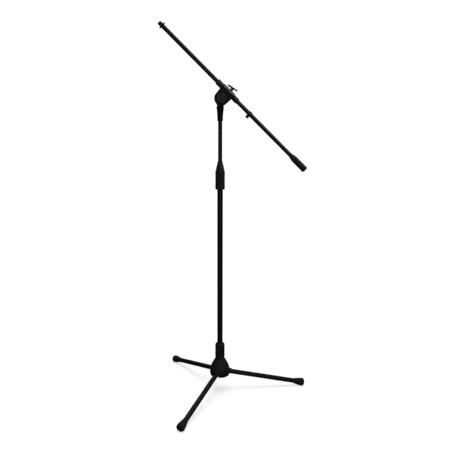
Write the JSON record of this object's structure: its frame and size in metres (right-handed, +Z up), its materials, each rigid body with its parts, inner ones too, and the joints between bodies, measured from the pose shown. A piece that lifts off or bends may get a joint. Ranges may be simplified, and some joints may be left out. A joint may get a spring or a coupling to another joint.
{
  "type": "boom microphone stand",
  "caption": "Tripod microphone stand with a telescopic column, a twist clutch, and a tilting, sliding boom held in a clamp.",
  "frame": {"origin": "on the column axis, at floor level between the three feet", "axes": "+Z up the column; the boom lies in the XZ plane at rest, with its microphone end towards -X and its rear grip towards +X"},
  "size_m": [0.5858, 0.624, 1.4541],
  "materials": {
    "tube_paint": "black powder coat with a fine texture, satin",
    "cast_paint": "die-cast, painted satin black",
    "raw_casting": "die-cast, thin dark coat",
    "bell_plastic": "moulded black plastic, fine grain",
    "grip_plastic": "moulded black plastic, satin",
    "bush_plastic": "black nylon, slightly glossy",
    "cap_plastic": "black plastic, semi-gloss",
    "foot_rubber": "black rubber, matt",
    "black_steel": "steel, black oxide",
    "plated_steel": "zinc-plated steel",
    "shoe_brass": "turned brass",
    "friction_fibre": "pressed fibre"
  },
  "bodies": {
    "base": {"base_bell": "bell_plastic", "base_collar": "bell_plastic", "leg_spider": "raw_casting", "leg_pins": "plated_steel", "base_bolt": "plated_steel", "base_washer": "plated_steel", "lower_plug": "plated_steel", "lower_tube": "tube_paint", "clutch_nipple": "black_steel", "clutch_collet": "bush_plastic"},
    "leg_1": {"leg_tube_1": "tube_paint", "leg_knuckle_1": "bush_plastic", "leg_foot_1": "foot_rubber"},
    "leg_2": {"leg_tube_2": "tube_paint", "leg_knuckle_2": "bush_plastic", "leg_foot_2": "foot_rubber"},
    "leg_3": {"leg_tube_3": "tube_paint", "leg_knuckle_3": "bush_plastic", "leg_foot_3": "foot_rubber"},
    "clutch": {"clutch_grip": "grip_plastic", "clutch_core": "black_steel"},
    "column": {"upper_tube": "tube_paint", "tube_guide": "bush_plastic", "neck_stud": "plated_steel"},
    "head": {"neck": "cast_paint", "friction_discs": "friction_fibre"},
    "clamp": {"clamp_body": "cast_paint", "boom_sleeve": "bush_plastic", "clamp_shoe": "shoe_brass", "pivot_bolt": "black_steel", "pivot_cap": "cap_plastic", "knob_washer": "plated_steel"},
    "tilt_knob": {"tilt_knob": "grip_plastic", "knob_insert": "plated_steel"},
    "clamp_key": {"key_screw": "plated_steel", "key_bar": "grip_plastic"},
    "boom": {"boom_tube": "tube_paint", "mic_thread": "black_steel", "rear_grip": "grip_plastic", "rear_weight": "plated_steel"},
    "lock_ring": {"lock_ring": "black_steel"},
    "clip": {"cable_clip": "bush_plastic"}
  },
  "joints": [
    {"name": "leg_1_fold", "type": "hinge", "parent": "base", "child": "leg_1", "pos_m": [0.01988, 0.00219, 0.08523], "axis": [-0.1097, 0.994, 0], "range_deg": [0, 77]},
    {"name": "leg_2_fold", "type": "hinge", "parent": "base", "child": "leg_2", "pos_m": [-0.01184, 0.01612, 0.08523], "axis": [-0.8059, -0.592, 0], "range_deg": [0, 77]},
    {"name": "leg_3_fold", "type": "hinge", "parent": "base", "child": "leg_3", "pos_m": [-0.00804, -0.01831, 0.08523], "axis": [0.9157, -0.4019, 0], "range_deg": [0, 77]},
    {"name": "clutch_turn", "type": "hinge", "parent": "base", "child": "clutch", "pos_m": [0, 0, 0.8336], "axis": [0, 0, 1], "range_deg": [0, 270]},
    {"name": "column_slide", "type": "slide", "parent": "base", "child": "column", "axis": [0, 0, 1], "range_m": [-0.149, 0.428]},
    {"name": "boom_swing", "type": "hinge", "parent": "column", "child": "head", "pos_m": [0, 0, 1.0944], "axis": [0, 0, 1], "continuous": true},
    {"name": "boom_tilt", "type": "hinge", "parent": "head", "child": "clamp", "pos_m": [0.0044, 0, 1.178], "axis": [0, 1, 0], "range_deg": [-104, 45.7]},
    {"name": "tilt_knob_turn", "type": "hinge", "parent": "clamp", "child": "tilt_knob", "pos_m": [0.0044, 0.02, 1.178], "axis": [0, 1, 0], "continuous": true},
    {"name": "clamp_key_turn", "type": "hinge", "parent": "clamp", "child": "clamp_key", "pos_m": [0.03435, 0, 1.19629], "axis": [0.5408, 0, 0.8411], "continuous": true},
    {"name": "boom_slide", "type": "slide", "parent": "clamp", "child": "boom", "axis": [0.7164, 0, -0.6977], "range_m": [-0.055, 0.275]},
    {"name": "lock_ring_turn", "type": "hinge", "parent": "boom", "child": "lock_ring", "pos_m": [-0.21403, 0, 1.43817], "axis": [0.7164, 0, -0.6977], "continuous": true},
    {"name": "clip_slide", "type": "slide", "parent": "boom", "child": "clip", "axis": [0.7164, 0, -0.6977], "range_m": [0, 0.21]}
  ]
}
